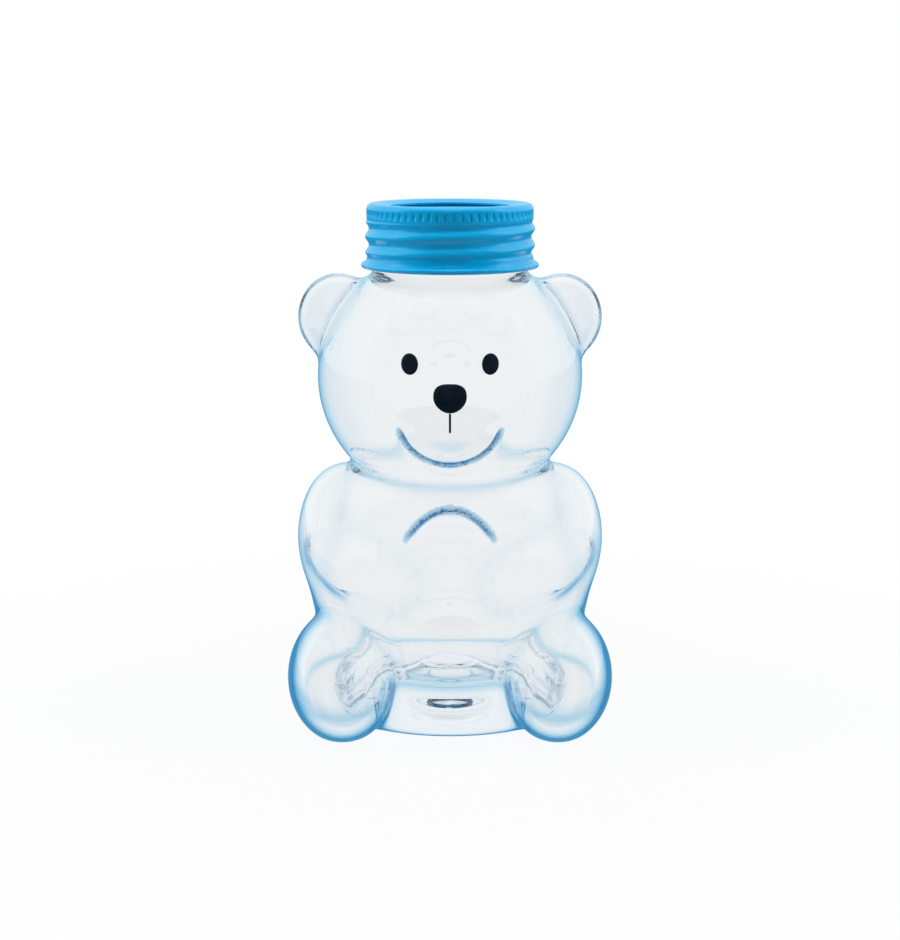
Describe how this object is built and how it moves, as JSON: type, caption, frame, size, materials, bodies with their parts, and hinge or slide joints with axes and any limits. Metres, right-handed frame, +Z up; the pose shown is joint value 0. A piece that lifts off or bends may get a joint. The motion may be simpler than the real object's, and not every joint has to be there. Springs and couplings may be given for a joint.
{
  "type": "glass cup with screw lid",
  "caption": "Bear-shaped clear glass cup with printed face, joined paws, seated feet and a blue screw lid with a knurled, beaded band over a recessed disc and a seal.",
  "frame": {"origin": "on the table under the axis of the neck, at the middle of the footprint", "axes": "+Z up through the neck, -Y the way the bear faces, +X to the viewer's right"},
  "size_m": [0.106, 0.095, 0.1728],
  "materials": {
    "clear_glass": "clear blown glass, polished, with a blue cast where it is thick",
    "black_enamel": "glossy fired enamel",
    "blue_lacquer": "satin blue lacquer on thin steel",
    "seal_silicone": "matt translucent white"
  },
  "bodies": {
    "glass": {"glass_bear": "clear_glass", "eye_left": "black_enamel", "eye_right": "black_enamel", "nose": "black_enamel", "mouth_line": "black_enamel"},
    "lid_insert": {"lid_disc": "blue_lacquer", "sealing_ring": "seal_silicone"},
    "band": {"screw_band": "blue_lacquer"}
  },
  "joints": [
    {"name": "lid_lift", "type": "slide", "parent": "glass", "child": "lid_insert", "axis": [0, 0, 1], "range_m": [0, 0.0213]},
    {"name": "lid_turn", "type": "hinge", "parent": "lid_insert", "child": "band", "pos_m": [0, 0, 0.168], "axis": [0, 0, 1], "range_deg": [0, 1440]}
  ],
  "couplings": [
    {"joint": "lid_lift", "follows": "lid_turn", "m_per_rad": 0.00084352}
  ]
}
